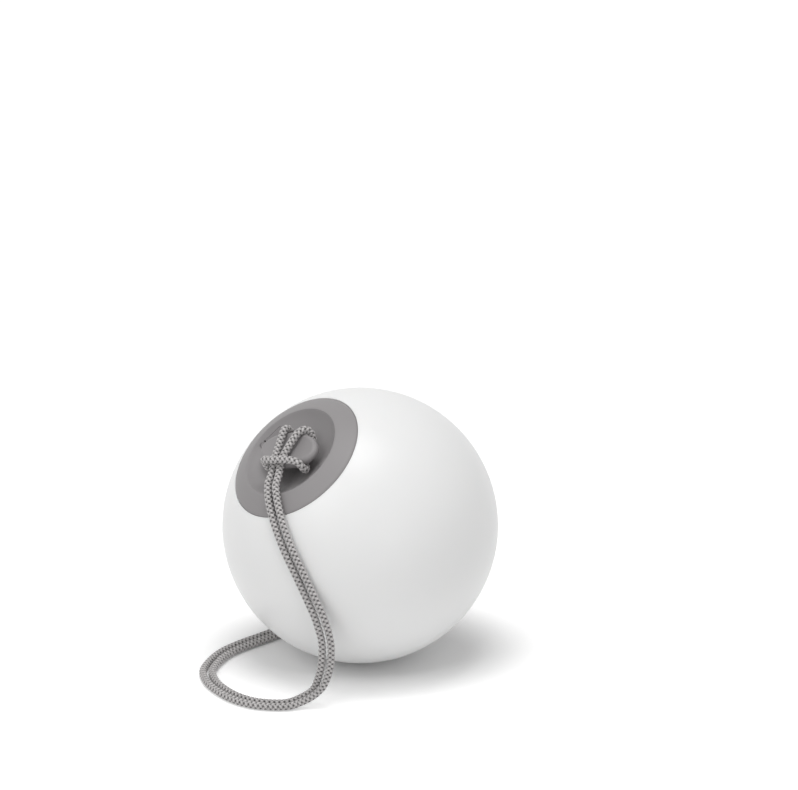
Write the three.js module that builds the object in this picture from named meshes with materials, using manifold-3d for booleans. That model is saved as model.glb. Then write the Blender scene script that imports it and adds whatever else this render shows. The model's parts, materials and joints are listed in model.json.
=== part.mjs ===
import * as THREE from 'three';
import { mergeVertices } from 'three/addons/utils/BufferGeometryUtils.js';
import Module from 'manifold-3d';

const wasm = await Module();
wasm.setup();

// A hanging globe lamp that lies on the floor, with its rope thrown over its front.
// Millimetres, +Z up. The origin is the point of the floor under the globe's centre.
// The lamp's own axis runs from the globe's centre through the cap and the knob.

// Pose of the lamp
const capTilt = 39.2;
const capBearing = 211;
const knobTurn = 200.9;

// Gaps between pieces
const seatGap = 0.3;
const slideGap = 0.3;
const cutOverrun = 3;

// Globe
const globeRadius = 100;
const globeWall = 2.6;
const mouthRadius = 45;
const collarHeight = 3.2;

// Cap: outer ring, dish and skirt
const capRadius = 52.4;
const capEdgeHeight = 3;
const capWall = 2.6;
const dishRimRadius = 38;
const dishDepth = 12.8;
const dishFlare = 3;
const dishShares = [0.87, 0.71, 0.55, 0.39];
const knobSeatRadius = 9;
const skirtRadius = 44.6;
const skirtWall = 2.4;
const skirtReach = 16.5;
const lugWidth = 12;
const lugHeight = 2.6;
const lugReach = 2;

// Seals
const capSealSection = 1.4;
const housingSealSection = 1.2;
const sealRoom = 0.1;
const sealGrooveHeight = 2;
const capSealDrop = 1.8;
const housingSealDrop = 4;

// Knob
const knobTop = 96.8;
const knobThickness = 6.5;
const knobHalfWidth = 15;
const knobHalfLength = 27;
const knobEdge = 3.1;
const knobNeckRadius = 7;
const knobDishDepth = 1.6;
const knobDishRim = 3.6;
const knobDishBulge = 4;
const knobScrewRadius = 2;
const knobScrewLength = 14;
const knobScrewHeadRadius = 3.8;
const knobScrewHeadHeight = 2.2;
const knobWasherRadius = 5.4;
const knobWasherThickness = 1;

// Rope
const ropeRadius = 2.9;
const ropeClearance = 0.5;
const bightRadius = 12;

// Power button and its switch
const buttonBearing = 264;
const buttonPlace = 30.2;
const buttonRadius = 4.4;
const buttonProud = 0.5;
const buttonCrown = 0.35;
const buttonFlange = 1.3;
const buttonFlangeTop = 3;
const buttonFlangeThickness = 1;
const buttonStemRadius = 1.6;
const buttonStemLength = 0.9;
const plungerRadius = 1.7;
const plungerLength = 2.4;
const plungerTravel = 0.8;
const switchWidth = 6;
const switchHeight = 3.3;
const switchStandOff = 1.1;

// Small boards behind the dish
const smallBoardWidth = 8;
const smallBoardLength = 18;
const smallBoardThickness = 1.2;
const smallBoardPostSpread = 7.2;
const postRadius = 1.5;
const smallScrewRadius = 0.8;
const smallScrewHeadRadius = 1.5;
const smallScrewHeadHeight = 1;
const smallScrewLength = 5;

// Charging socket and its flap
const portBearing = 62;
const portPlace = 31.5;
const flapLength = 15.4;
const flapWidth = 7.6;
const flapThickness = 0.9;
const flapCorner = 1.8;
const flapNoseLength = 7.6;
const flapNoseWidth = 2.2;
const flapNoseDepth = 2;
const anchorLength = 5;
const anchorPinRadius = 1;
const socketLength = 9;
const socketWidth = 3.2;
const socketHeight = 6.6;
const socketWall = 0.35;
const tongueLength = 6.6;
const tongueThickness = 0.7;
const tongueHeight = 4.6;

// Inner housing
const housingWall = 2;
const housingTop = 73;
const housingBottom = 46;
const housingScrewPlace = 34.5;
const housingPostRadius = 4.2;
const housingPostTop = 61.7;
const housingScrewRadius = 1.25;
const housingScrewLength = 26;
const housingScrewHeadRadius = 2.4;
const housingScrewHeadHeight = 1.7;

// Control board
const controlBoardRadius = 27;
const controlBoardTop = 73;
const controlBoardThickness = 1.6;
const boardPostRadius = 2.8;
const boardPostPlace = 18;
const boardScrewRadius = 1.1;
const boardScrewLength = 6;
const boardScrewHeadRadius = 2.1;
const boardScrewHeadHeight = 1.3;
const chipSize = 6;
const chipHeight = 1;
const chipPlace = 14;
const inductorSize = 8;
const inductorHeight = 3.6;
const connectorLength = 8;
const connectorWidth = 5;
const connectorHeight = 3.4;

// Cells and their holder
const cellRadius = 9.2;
const cellLength = 65;
const cellCapRadius = 3;
const cellCapHeight = 0.6;
const cellSpread = 10;
const cellHeight = 58.6;
const holderWidth = 39;
const holderLength = 62;
const holderHeight = 6.7;
const stripWidth = 34;
const stripHeight = 7;
const stripThickness = 0.4;

// Leads
const leadRadius = 0.8;
const leadSpread = 2.5;
const ledLeadPlace = 24;

// Light source
const ledBoardRadius = 28.5;
const ledBoardThickness = 1.6;
const ledRing = 14;
const ledSize = 3.5;
const ledHeight = 0.8;
const ledScrewX = 23.2;
const ledScrewY = -9.3;
const ledScrewBoss = 2.6;
const ledScrewBossHeight = 5;
const ledScrewRadius = 1.1;
const ledScrewLength = 6;
const lensRadius = 31.5;
const lensDepth = 16;
const lensWall = 1.5;

// Counts
const roundSteps = 40;
const postSteps = 14;
const screwSteps = 10;
const ledCount = 6;
const lugCount = 3;
const housingScrewBearings = [20, 160, 200, 340];

// Sizes that follow from the ones above
const rad = THREE.MathUtils.degToRad;
const onGlobe = (radius, ball = globeRadius) => Math.sqrt(ball * ball - radius * radius);
const seatRadius = capRadius + slideGap;
const seatHeight = onGlobe(seatRadius) - capEdgeHeight;
const collarBottom = seatHeight - collarHeight;
const dishReach = dishRimRadius + dishFlare;
const dishShare = (radius) => Math.sqrt(1 - (radius / dishReach) ** 2);
const dishRise = dishDepth / (1 - dishShare(dishRimRadius));
const dishTop = onGlobe(dishRimRadius) - dishDepth + dishRise;
const dishHeight = (radius) => dishTop - dishRise * dishShare(radius);
const dishSlope = (radius) => dishRise * radius / dishReach ** 2 / dishShare(radius);
const knobSeat = dishHeight(knobSeatRadius);
const knobUnder = knobTop - knobThickness;
const skirtBottom = seatHeight + seatGap - skirtReach;
const skirtBore = skirtRadius - skirtWall;
const housingRadius = skirtBore - seatGap - sealRoom * 2;
const cellFloor = housingBottom + housingWall + seatGap;

// Materials
function finish(color, roughness, metalness = 0) {
  return new THREE.MeshStandardMaterial({ color, roughness, metalness });
}

const opalPlastic = finish(0xf1f1ee, 0.45);
const capPlastic = finish(0x989493, 0.6);
const softRubber = finish(0x8b8786, 0.8);
const sealRubber = finish(0x2b2b2b, 0.8);
const ropeFibre = finish(0xa8a3a1, 0.9);
const steel = finish(0xb8b8b8, 0.35, 1);
const boardGreen = finish(0x2f5d43, 0.6);
const whiteBoard = finish(0xe8e8e6, 0.5);
const blackPlastic = finish(0x262626, 0.55);
const innerPlastic = finish(0xd9d9d6, 0.6);
const cellWrap = finish(0x3d6e9e, 0.45);
const phosphor = finish(0xf0dc82, 0.5);
const redLead = finish(0xa52a22, 0.6);
const blackLead = finish(0x1f1f1f, 0.6);

// Solids: closed triangle meshes, cut and joined where a piece needs it
function closedMesh(geometry) {
  const bare = geometry.clone();
  bare.deleteAttribute('normal');
  bare.deleteAttribute('uv');
  const merged = mergeVertices(bare);
  const index = [];
  const source = merged.index.array;
  for (let i = 0; i < source.length; i += 3) {
    const [a, b, c] = [source[i], source[i + 1], source[i + 2]];
    if (a !== b && b !== c && c !== a) {
      index.push(a, b, c);
    }
  }
  merged.setIndex(index);
  if (signedVolume(merged) < 0) {
    merged.setIndex(index.reverse());
  }
  return merged;
}

function signedVolume(geometry) {
  const place = geometry.attributes.position;
  const corners = [new THREE.Vector3(), new THREE.Vector3(), new THREE.Vector3()];
  let sum = 0;
  for (let i = 0; i < geometry.index.count; i += 3) {
    corners.forEach((corner, k) => corner.fromBufferAttribute(place, geometry.index.getX(i + k)));
    sum += corners[0].dot(corners[1].cross(corners[2]));
  }
  return sum;
}

function solid(geometry) {
  const mesh = closedMesh(geometry);
  return new wasm.Manifold(new wasm.Mesh({
    numProp: 3,
    vertProperties: new Float32Array(mesh.attributes.position.array),
    triVerts: new Uint32Array(mesh.index.array),
  }));
}

function toGeometry(manifold) {
  const mesh = manifold.getMesh();
  const geometry = new THREE.BufferGeometry();
  geometry.setAttribute('position', new THREE.BufferAttribute(mesh.vertProperties, 3));
  geometry.setIndex(new THREE.BufferAttribute(mesh.triVerts, 1));
  return geometry;
}

function join(first, ...others) {
  return toGeometry(others.reduce((sum, other) => sum.add(solid(other)), solid(first)));
}

function cut(first, ...others) {
  return toGeometry(others.reduce((rest, other) => rest.subtract(solid(other)), solid(first)));
}

// An outline of [radius, height] points turned about +Z. It starts and ends on the axis,
// or closes on itself.
function turned(outline, steps = roundSteps) {
  const points = outline.map(([radius, height]) => new THREE.Vector2(radius, height));
  return closedMesh(new THREE.LatheGeometry(points, steps).rotateX(Math.PI / 2));
}

function ringOf(outline, steps = roundSteps) {
  return turned([...outline, outline[0]], steps);
}

function rod(radius, bottom, top, steps = postSteps) {
  const turnedRod = new THREE.CylinderGeometry(radius, radius, top - bottom, steps);
  return turnedRod.rotateX(Math.PI / 2).translate(0, 0, (top + bottom) / 2);
}

function block(width, length, bottom, top) {
  return new THREE.BoxGeometry(width, length, top - bottom).translate(0, 0, (top + bottom) / 2);
}

function roundedPlate(width, length, corner, bottom, top) {
  const [x, y] = [width / 2, length / 2];
  const shape = new THREE.Shape();
  shape.moveTo(corner - x, -y);
  shape.absarc(x - corner, corner - y, corner, rad(-90), rad(0));
  shape.absarc(x - corner, y - corner, corner, rad(0), rad(90));
  shape.absarc(corner - x, y - corner, corner, rad(90), rad(180));
  shape.absarc(corner - x, corner - y, corner, rad(180), rad(270));
  const plate = new THREE.ExtrudeGeometry(shape, {
    depth: top - bottom, bevelEnabled: false, curveSegments: 3,
  });
  return plate.translate(0, 0, bottom);
}

// A headed screw: its head lies below headTop and its shank goes up
function screw(headTop, shankRadius, length, headRadius, headHeight) {
  const point = shankRadius * 0.3;
  return turned([
    [0, headTop - headHeight],
    [headRadius * 0.75, headTop - headHeight],
    [headRadius, headTop - headHeight * 0.55],
    [headRadius, headTop],
    [shankRadius, headTop],
    [shankRadius, headTop + length - shankRadius],
    [point, headTop + length],
    [0, headTop + length],
  ], screwSteps);
}

function tube(points, radius, sides, steps) {
  const path = new THREE.CatmullRomCurve3(points, false, 'centripetal');
  path.arcLengthDivisions = steps * 12;
  const section = new THREE.Shape();
  for (let side = 0; side < sides; side += 1) {
    const angle = 2 * Math.PI * side / sides;
    const [x, y] = [radius * Math.cos(angle), radius * Math.sin(angle)];
    side === 0 ? section.moveTo(x, y) : section.lineTo(x, y);
  }
  return new THREE.ExtrudeGeometry(section, { steps, extrudePath: path, bevelEnabled: false });
}

// An arc of [radius, height] points on a ball about the globe's centre
function ballArc(ball, fromRadius, toRadius, steps) {
  const from = Math.asin(fromRadius / ball);
  const to = Math.asin(toRadius / ball);
  const points = [];
  for (let step = 0; step <= steps; step += 1) {
    const angle = from + (to - from) * step / steps;
    points.push([ball * Math.sin(angle), ball * Math.cos(angle)]);
  }
  return points;
}

// The part of a ball's outline below the mouth, from the foot of the axis up
function ballBelow(ball, topRadius, steps) {
  const end = Math.PI - Math.asin(topRadius / ball);
  const points = [];
  for (let step = 0; step <= steps; step += 1) {
    const angle = end * step / steps;
    points.push([ball * Math.sin(angle), -ball * Math.cos(angle)]);
  }
  points[0][0] = 0;
  return points;
}

// Globe: a ball whose mouth has a seat for the cap's edge and a collar for its lugs
function globeShell() {
  const inner = globeRadius - globeWall;
  const collarReach = onGlobe(collarBottom, inner);
  return turned([
    ...ballBelow(globeRadius, seatRadius, 22),
    [seatRadius, seatHeight],
    [mouthRadius, seatHeight],
    [mouthRadius, collarBottom],
    ...ballBelow(inner, collarReach, 12).reverse(),
  ]);
}

// Places on the dish: x runs outward along the slope, y along the rim and z out of the dish
function dishPlace(place, bearing) {
  const frame = new THREE.Object3D();
  const turn = rad(bearing);
  frame.position.set(place * Math.cos(turn), place * Math.sin(turn), dishHeight(place));
  frame.rotation.set(0, -Math.atan(dishSlope(place)), turn, 'ZYX');
  frame.updateMatrix();
  return frame.matrix;
}

const buttonFrame = dishPlace(buttonPlace, buttonBearing);
const portFrame = dishPlace(portPlace, portBearing);
const switchBoardTop = -(buttonFlangeTop + buttonFlangeThickness + buttonStemLength
  + seatGap + switchStandOff + switchHeight + seatGap);
const socketTop = -(seatGap * 2 + flapThickness + flapNoseDepth);
const socketBoardTop = socketTop - socketHeight - seatGap;
const flapRoom = flapThickness + seatGap;

// Two posts under the dish that carry a small board, and their screw holes
function boardPosts(boardTop) {
  return [-1, 1].map((side) => rod(postRadius, boardTop + seatGap, -capWall / 2, 10)
    .translate(0, side * smallBoardPostSpread, 0));
}

function boardPostHoles(boardTop) {
  const bore = smallScrewRadius + slideGap;
  return [-1, 1].map((side) => rod(bore, boardTop - cutOverrun, boardTop + smallScrewLength, 8)
    .translate(0, side * smallBoardPostSpread, 0));
}

// Cap: ring, dish and skirt in one shell, with lugs, posts and openings
function capShell() {
  const ringInner = globeRadius - capWall;
  const edgeBottom = seatHeight + seatGap;
  const capSealTop = edgeBottom - capSealDrop;
  const capGroove = skirtRadius - capSealSection + sealRoom;
  const underside = (radius) => dishHeight(radius) - capWall;
  const dishRadii = dishShares.map((share) => share * dishRimRadius);
  const wall = ringOf([
    [knobScrewRadius + slideGap, knobSeat],
    [knobSeatRadius, knobSeat],
    ...dishRadii.slice().reverse().map((radius) => [radius, dishHeight(radius)]),
    [dishRimRadius - capWall / 2, dishHeight(dishRimRadius - capWall / 2)],
    ...ballArc(globeRadius, dishRimRadius, capRadius, 5),
    [capRadius, edgeBottom],
    [skirtRadius, edgeBottom],
    [skirtRadius, capSealTop],
    [capGroove, capSealTop],
    [capGroove, capSealTop - sealGrooveHeight],
    [skirtRadius, capSealTop - sealGrooveHeight],
    [skirtRadius, skirtBottom],
    [skirtBore, skirtBottom],
    [skirtBore, onGlobe(skirtBore, ringInner)],
    [dishRimRadius + seatGap, onGlobe(dishRimRadius + seatGap, ringInner)],
    ...dishRadii.map((radius) => [radius, underside(radius)]),
    [knobSeatRadius, knobSeat - capWall],
    [knobScrewRadius + slideGap, knobSeat - capWall],
  ]);
  const lugs = [];
  const lugTop = collarBottom - seatGap;
  const lugOut = skirtRadius + lugReach;
  const lugIn = skirtRadius - skirtWall / 2;
  for (let lug = 0; lug < lugCount; lug += 1) {
    const bearing = rad(90 + 360 * lug / lugCount);
    lugs.push(block(lugOut - lugIn, lugWidth, lugTop - lugHeight, lugTop)
      .translate((lugOut + lugIn) / 2, 0, 0).rotateZ(bearing));
  }
  const bosses = [];
  const bores = [];
  housingScrewBearings.forEach((bearing) => {
    const roof = underside(housingScrewPlace) + capWall / 2;
    const bossBottom = housingPostTop + seatGap;
    const shankTop = housingBottom - seatGap + housingScrewLength;
    bosses.push(rod(housingPostRadius, bossBottom, roof)
      .translate(housingScrewPlace, 0, 0).rotateZ(rad(bearing)));
    bores.push(rod(housingScrewRadius + slideGap, bossBottom - cutOverrun, shankTop + seatGap, 10)
      .translate(housingScrewPlace, 0, 0).rotateZ(rad(bearing)));
  });
  [-1, 1].forEach((side) => {
    const shankTop = controlBoardTop - controlBoardThickness - seatGap + boardScrewLength;
    bosses.push(rod(boardPostRadius, controlBoardTop + seatGap,
      underside(boardPostPlace) + capWall / 2).translate(side * boardPostPlace, 0, 0));
    bores.push(rod(boardScrewRadius + slideGap, controlBoardTop - cutOverrun, shankTop + seatGap, 10)
      .translate(side * boardPostPlace, 0, 0));
  });
  const skin = capWall + cutOverrun;
  const buttonCuts = [
    rod(buttonRadius + slideGap, -skin, cutOverrun, 20),
    ...boardPostHoles(switchBoardTop),
  ];
  const recessY = (anchorLength + seatGap) / 2;
  const portCuts = [
    roundedPlate(flapWidth + 2 * slideGap, flapLength + anchorLength + 3 * slideGap,
      flapCorner, -flapRoom, cutOverrun).translate(0, recessY, 0),
    block(flapNoseWidth + 4 * slideGap, flapNoseLength + 4 * slideGap, -skin, cutOverrun),
    rod(anchorPinRadius + slideGap, -skin, cutOverrun, 10)
      .translate(0, (flapLength + anchorLength) / 2 + slideGap, 0),
    ...boardPostHoles(socketBoardTop),
  ];
  const added = [
    ...lugs, ...bosses,
    ...boardPosts(switchBoardTop).map((post) => post.applyMatrix4(buttonFrame)),
    ...boardPosts(socketBoardTop).map((post) => post.applyMatrix4(portFrame)),
  ];
  const removed = [
    ...bores,
    ...buttonCuts.map((cutter) => cutter.applyMatrix4(buttonFrame)),
    ...portCuts.map((cutter) => cutter.applyMatrix4(portFrame)),
  ];
  return cut(join(wall, ...added), ...removed);
}

// O-ring between an inner and an outer wall, round the lamp's axis
function seal(inner, outer, height) {
  const radius = (outer - inner) / 2 - sealRoom;
  const centre = (outer + inner) / 2;
  const outline = [];
  for (let side = 0; side < 5; side += 1) {
    const angle = 2 * Math.PI * side / 5;
    outline.push([centre + radius * Math.cos(angle), height + radius * Math.sin(angle)]);
  }
  return ringOf(outline);
}

// Knob: an oval head with rounded edges and a dished face, on a round neck
function hangingKnob() {
  const outline = new THREE.Shape();
  outline.absellipse(0, 0, knobHalfWidth - knobEdge, knobHalfLength - knobEdge, 0, 2 * Math.PI);
  const head = new THREE.ExtrudeGeometry(outline, {
    depth: knobThickness - 2 * knobEdge, curveSegments: 18, bevelEnabled: true,
    bevelThickness: knobEdge, bevelSize: knobEdge, bevelSegments: 3,
  }).translate(0, 0, knobUnder + knobEdge);
  const neck = turned([
    [0, knobSeat + seatGap],
    [knobNeckRadius, knobSeat + seatGap],
    [knobNeckRadius, knobTop - knobThickness / 2],
    [0, knobTop - knobThickness / 2],
  ], 28);
  const bulgeShare = Math.sqrt(1 - ((knobDishBulge - knobDishDepth) / knobDishBulge) ** 2);
  const hollow = new THREE.SphereGeometry(1, 22, 12).rotateX(Math.PI / 2).scale(
    (knobHalfWidth - knobDishRim) / bulgeShare,
    (knobHalfLength - knobDishRim) / bulgeShare,
    knobDishBulge,
  ).translate(0, 0, knobTop + knobDishBulge - knobDishDepth);
  const bore = rod(knobScrewRadius + slideGap, knobSeat - cutOverrun,
    knobSeat - capWall - seatGap * 2 - knobWasherThickness + knobScrewLength + seatGap, 12);
  return cut(join(head, neck), hollow, bore);
}

const washerTop = knobSeat - capWall - seatGap;

function knobWasher() {
  const bore = knobScrewRadius + slideGap;
  return ringOf([
    [bore, washerTop],
    [knobWasherRadius, washerTop],
    [knobWasherRadius, washerTop - knobWasherThickness],
    [bore, washerTop - knobWasherThickness],
  ], 16);
}

// Button: a crowned cap, a flange that keeps it in, and a stem that presses the switch
function powerButton() {
  const flangeBottom = -(buttonFlangeTop + buttonFlangeThickness);
  return turned([
    [0, flangeBottom - buttonStemLength],
    [buttonStemRadius, flangeBottom - buttonStemLength],
    [buttonStemRadius, flangeBottom],
    [buttonRadius + buttonFlange, flangeBottom],
    [buttonRadius + buttonFlange, -buttonFlangeTop],
    [buttonRadius, -buttonFlangeTop],
    [buttonRadius, buttonProud - buttonCrown],
    [buttonRadius * 0.85, buttonProud],
    [buttonRadius * 0.45, buttonProud + buttonCrown],
    [0, buttonProud + buttonCrown],
  ], 20);
}

const plungerTop = -(buttonFlangeTop + buttonFlangeThickness + buttonStemLength + seatGap);
const switchTop = plungerTop - switchStandOff;

function switchBody() {
  const well = rod(plungerRadius + slideGap,
    plungerTop - plungerLength - plungerTravel - seatGap, switchTop + cutOverrun, 12);
  return cut(block(switchWidth, switchWidth, switchTop - switchHeight, switchTop), well);
}

function smallBoard(boardTop) {
  const holes = [-1, 1].map((side) => rod(smallScrewRadius + slideGap,
    boardTop - smallBoardThickness - cutOverrun, boardTop + cutOverrun, 8)
    .translate(0, side * smallBoardPostSpread, 0));
  return cut(block(smallBoardWidth, smallBoardLength, boardTop - smallBoardThickness, boardTop),
    ...holes);
}

function smallScrew(boardTop, side) {
  return screw(boardTop - smallBoardThickness - seatGap, smallScrewRadius, smallScrewLength,
    smallScrewHeadRadius, smallScrewHeadHeight)
    .translate(0, side * smallBoardPostSpread, 0);
}

// Flap: a thin lid over the socket with a nose that plugs its mouth
function portFlap() {
  const bottom = -flapThickness;
  return join(
    roundedPlate(flapWidth, flapLength, flapCorner, bottom, 0),
    block(flapNoseWidth, flapNoseLength, bottom - flapNoseDepth, bottom + flapThickness / 2),
  );
}

function flapAnchor() {
  const middle = (flapLength + anchorLength) / 2 + slideGap;
  const pin = rod(anchorPinRadius, -capWall, -flapThickness / 2, 10);
  return join(roundedPlate(flapWidth, anchorLength - slideGap, flapCorner, -flapThickness, 0), pin)
    .translate(0, middle, 0);
}

function socketShell() {
  const bottom = socketTop - socketHeight;
  const mouth = block(socketWidth - 2 * socketWall, socketLength - 2 * socketWall,
    bottom + socketWall, socketTop + cutOverrun);
  return cut(block(socketWidth, socketLength, bottom, socketTop), mouth);
}

function socketTongue() {
  const bottom = socketTop - socketHeight + socketWall + seatGap;
  return block(tongueThickness, tongueLength, bottom, bottom + tongueHeight);
}

// Cup: closes the inner housing, with posts for its screws and bosses for the light source
function housingCup() {
  const inner = housingRadius - housingWall;
  const floorTop = housingBottom + housingWall;
  const grooveTop = housingTop - housingSealDrop;
  const groove = housingRadius - housingSealSection + sealRoom;
  const wall = turned([
    [0, housingBottom],
    [housingRadius, housingBottom],
    [housingRadius, grooveTop - sealGrooveHeight],
    [groove, grooveTop - sealGrooveHeight],
    [groove, grooveTop],
    [housingRadius, grooveTop],
    [housingRadius, housingTop],
    [inner, housingTop],
    [inner, floorTop],
    [0, floorTop],
  ]);
  const posts = [];
  const bores = [];
  housingScrewBearings.forEach((bearing) => {
    posts.push(rod(housingPostRadius, housingBottom + housingWall / 2, housingPostTop)
      .translate(housingScrewPlace, 0, 0).rotateZ(rad(bearing)));
    bores.push(rod(housingScrewRadius + slideGap, housingBottom - cutOverrun,
      housingPostTop + cutOverrun, 10).translate(housingScrewPlace, 0, 0).rotateZ(rad(bearing)));
  });
  [-1, 1].forEach((side) => {
    posts.push(rod(ledScrewBoss, housingBottom + housingWall / 2, floorTop + ledScrewBossHeight, 12)
      .translate(side * ledScrewX, ledScrewY, 0));
    bores.push(rod(ledScrewRadius + slideGap, housingBottom - cutOverrun,
      floorTop + ledScrewBossHeight - housingWall / 2, 10)
      .translate(side * ledScrewX, ledScrewY, 0));
    bores.push(rod(leadRadius + slideGap, housingBottom - cutOverrun, floorTop + cutOverrun, 8)
      .translate(ledLeadPlace, side * leadSpread, 0));
  });
  return cut(join(wall, ...posts), ...bores);
}

function controlBoard() {
  const bottom = controlBoardTop - controlBoardThickness;
  const holes = [-1, 1].map((side) => rod(boardScrewRadius + slideGap, bottom - cutOverrun,
    controlBoardTop + cutOverrun, 10).translate(side * boardPostPlace, 0, 0));
  return cut(rod(controlBoardRadius, bottom, controlBoardTop, 32), ...holes);
}

function batteryHolder() {
  const scoops = [-1, 1].map((side) => rod(cellRadius + slideGap, -cellLength, cellLength, 24)
    .rotateX(Math.PI / 2).translate(side * cellSpread, 0, cellHeight));
  return cut(block(holderWidth, holderLength, cellFloor, cellFloor + holderHeight), ...scoops);
}

function batteryCell(side) {
  const half = cellLength / 2;
  return turned([
    [0, -half],
    [cellRadius * 0.9, -half],
    [cellRadius, cellRadius * 0.1 - half],
    [cellRadius, half - cellRadius * 0.1],
    [cellRadius * 0.9, half - cellCapHeight],
    [cellCapRadius, half - cellCapHeight],
    [cellCapRadius, half],
    [0, half],
  ], 24).rotateX(side * Math.PI / 2).translate(side * cellSpread, 0, cellHeight);
}

function cellStrip(side) {
  const place = side * (cellLength / 2 + seatGap + stripThickness / 2);
  return block(stripWidth, stripThickness, cellHeight - stripHeight / 2,
    cellHeight + stripHeight / 2).translate(0, place, 0);
}

// Leads run from a strip or a small board to the underside or edge of the control board
const underBoard = controlBoardTop - controlBoardThickness - seatGap - leadRadius;

function lead(points, steps) {
  return tube(points.map((point) => new THREE.Vector3(...point)), leadRadius, 6, steps);
}

function batteryLead(side) {
  const strip = cellLength / 2 + 2 * seatGap + stripThickness;
  const out = side * (strip + leadRadius);
  const x = leadSpread;
  return lead([
    [x, out, cellHeight],
    [x, out, cellHeight + cellRadius * 0.5],
    [x, out * 0.97, cellHeight + cellRadius],
    [x, out * 0.88, underBoard],
    [x, out * 0.7, underBoard],
  ], 9);
}

function ledLead(side) {
  const y = side * leadSpread;
  return lead([
    [ledLeadPlace - leadSpread, y, underBoard],
    [ledLeadPlace - leadSpread * 0.4, y, underBoard - leadRadius * 0.6],
    [ledLeadPlace, y, underBoard - leadSpread],
    [ledLeadPlace, y, cellHeight],
    [ledLeadPlace, y, housingBottom],
  ], 10);
}

function smallBoardLead(frame, boardTop, bearing) {
  const low = boardTop - smallBoardThickness - seatGap - leadRadius;
  const under = [0.25, 0.56].map((share) => new THREE.Vector3(-smallBoardWidth * share, 0, low)
    .applyMatrix4(frame));
  const turn = rad(bearing);
  const onto = [0, leadSpread].map((inset) => new THREE.Vector3(
    (controlBoardRadius - inset) * Math.cos(turn),
    (controlBoardRadius - inset) * Math.sin(turn),
    controlBoardTop + seatGap + leadRadius,
  ));
  return tube([...under, ...onto], leadRadius, 6, 6);
}

function ledBoard() {
  const top = housingBottom - seatGap;
  const holes = [-1, 1].map((side) => rod(ledScrewRadius + slideGap,
    top - ledBoardThickness - cutOverrun, top + cutOverrun, 10)
    .translate(side * ledScrewX, ledScrewY, 0));
  return cut(rod(ledBoardRadius, top - ledBoardThickness, top, 32), ...holes);
}

function led(number) {
  const top = housingBottom - ledBoardThickness - 2 * seatGap;
  return block(ledSize, ledSize, top - ledHeight, top).translate(ledRing, 0, 0)
    .rotateZ(2 * Math.PI * number / ledCount);
}

// Lens: a shallow opal bowl that covers the light source
function ledLens() {
  const rim = housingBottom - seatGap;
  const bowl = (shrink) => {
    const points = [];
    for (let step = 0; step <= 6; step += 1) {
      const angle = Math.PI / 2 * step / 6;
      points.push([(lensRadius - shrink) * Math.sin(angle),
        rim - (lensDepth - shrink) * Math.cos(angle)]);
    }
    points[0][0] = 0;
    return points;
  };
  return turned([...bowl(0), ...bowl(lensWall).reverse()], 24);
}

// Rope. The hitch is one tube in the lamp's own frame: a tail comes up over the face,
// dives round the far edge, runs back beside the neck and crosses over both tails.
const ropeLift = ropeRadius + ropeClearance;
const edgeTurn = knobThickness / 2 + ropeLift;
const edgeHeight = knobTop - knobThickness / 2;

// Rows over the knob's face. Each is a share of the half width, shares of the half length for
// the left and the right strand, and the height over the face as a share of the rope's lift.
const faceShares = [
  [-1.8, [0, -0.278], 0.24], [-1.55, [0.022, -0.248], 0.32], [-1.14, [0.07, -0.178], 0.6],
  [-0.86, [0.09, -0.158], 0.95], [-0.45, [0.15, -0.15], 1], [0, [0.205, -0.165], 1],
  [0.34, [0.25, -0.19], 1],
];
const diveShares = [[0.3, 0.36, 0.39, 0.41, 0.41], [-0.24, -0.3, -0.35, -0.375, -0.385]];
const underShares = [
  [[0.3, 0.4, -1], [-0.3, 0.4, -1], [-0.7, 0.37, -1], [-1.06, 0.31, -0.7]],
  [[0.3, -0.4, -1], [-0.22, -0.45, -1], [-0.55, -0.61, -1], [-0.8, -0.73, -0.74]],
];
const barShares = [
  [[-1.2, 0.285, 0], [-1.17, 0.315, 0.55], [-1.12, 0.325, 1], [-1.1, 0.3, 1.45],
    [-1.12, 0.215, 1.76], [-1.13, 0.11, 1.86]],
  [[-0.89, -0.78, -0.04], [-0.85, -0.745, 0.68], [-0.86, -0.63, 1.1], [-0.94, -0.44, 1.47],
    [-1.06, -0.22, 1.8]],
];

function edgeAt(y) {
  return knobHalfWidth * Math.sqrt(1 - (y / knobHalfLength) ** 2);
}

function hitchHalf(hand) {
  const points = faceShares.map(([x, y, lift]) => [
    x * knobHalfWidth, y[hand] * knobHalfLength, knobTop + lift * ropeLift,
  ]);
  diveShares[hand].forEach((share, i) => {
    const angle = rad(45 * i);
    const y = share * knobHalfLength;
    points.push([edgeAt(y) - knobThickness / 2 + edgeTurn * Math.sin(angle), y,
      edgeHeight + edgeTurn * Math.cos(angle)]);
  });
  [...underShares[hand], ...barShares[hand]].forEach(([x, y, up]) => {
    points.push([x * knobHalfWidth, y * knobHalfLength, edgeHeight + up * edgeTurn]);
  });
  return points.map((point) => new THREE.Vector3(...point));
}

const hitchPoints = [
  ...hitchHalf(0),
  new THREE.Vector3(-knobHalfWidth * 1.13, 0, edgeHeight + edgeTurn * 1.87),
  ...hitchHalf(1).reverse(),
];

function leastSelfGap(points, radius) {
  const path = new THREE.CatmullRomCurve3(points, false, 'centripetal');
  const samples = path.getSpacedPoints(360);
  const step = path.getLength() / 360;
  const skip = Math.ceil(radius * 5 / step);
  let least = Infinity;
  for (let i = 0; i < samples.length; i += 1) {
    for (let j = i + skip; j < samples.length; j += 1) {
      least = Math.min(least, samples[i].distanceTo(samples[j]));
    }
  }
  return least - 2 * radius;
}

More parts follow.
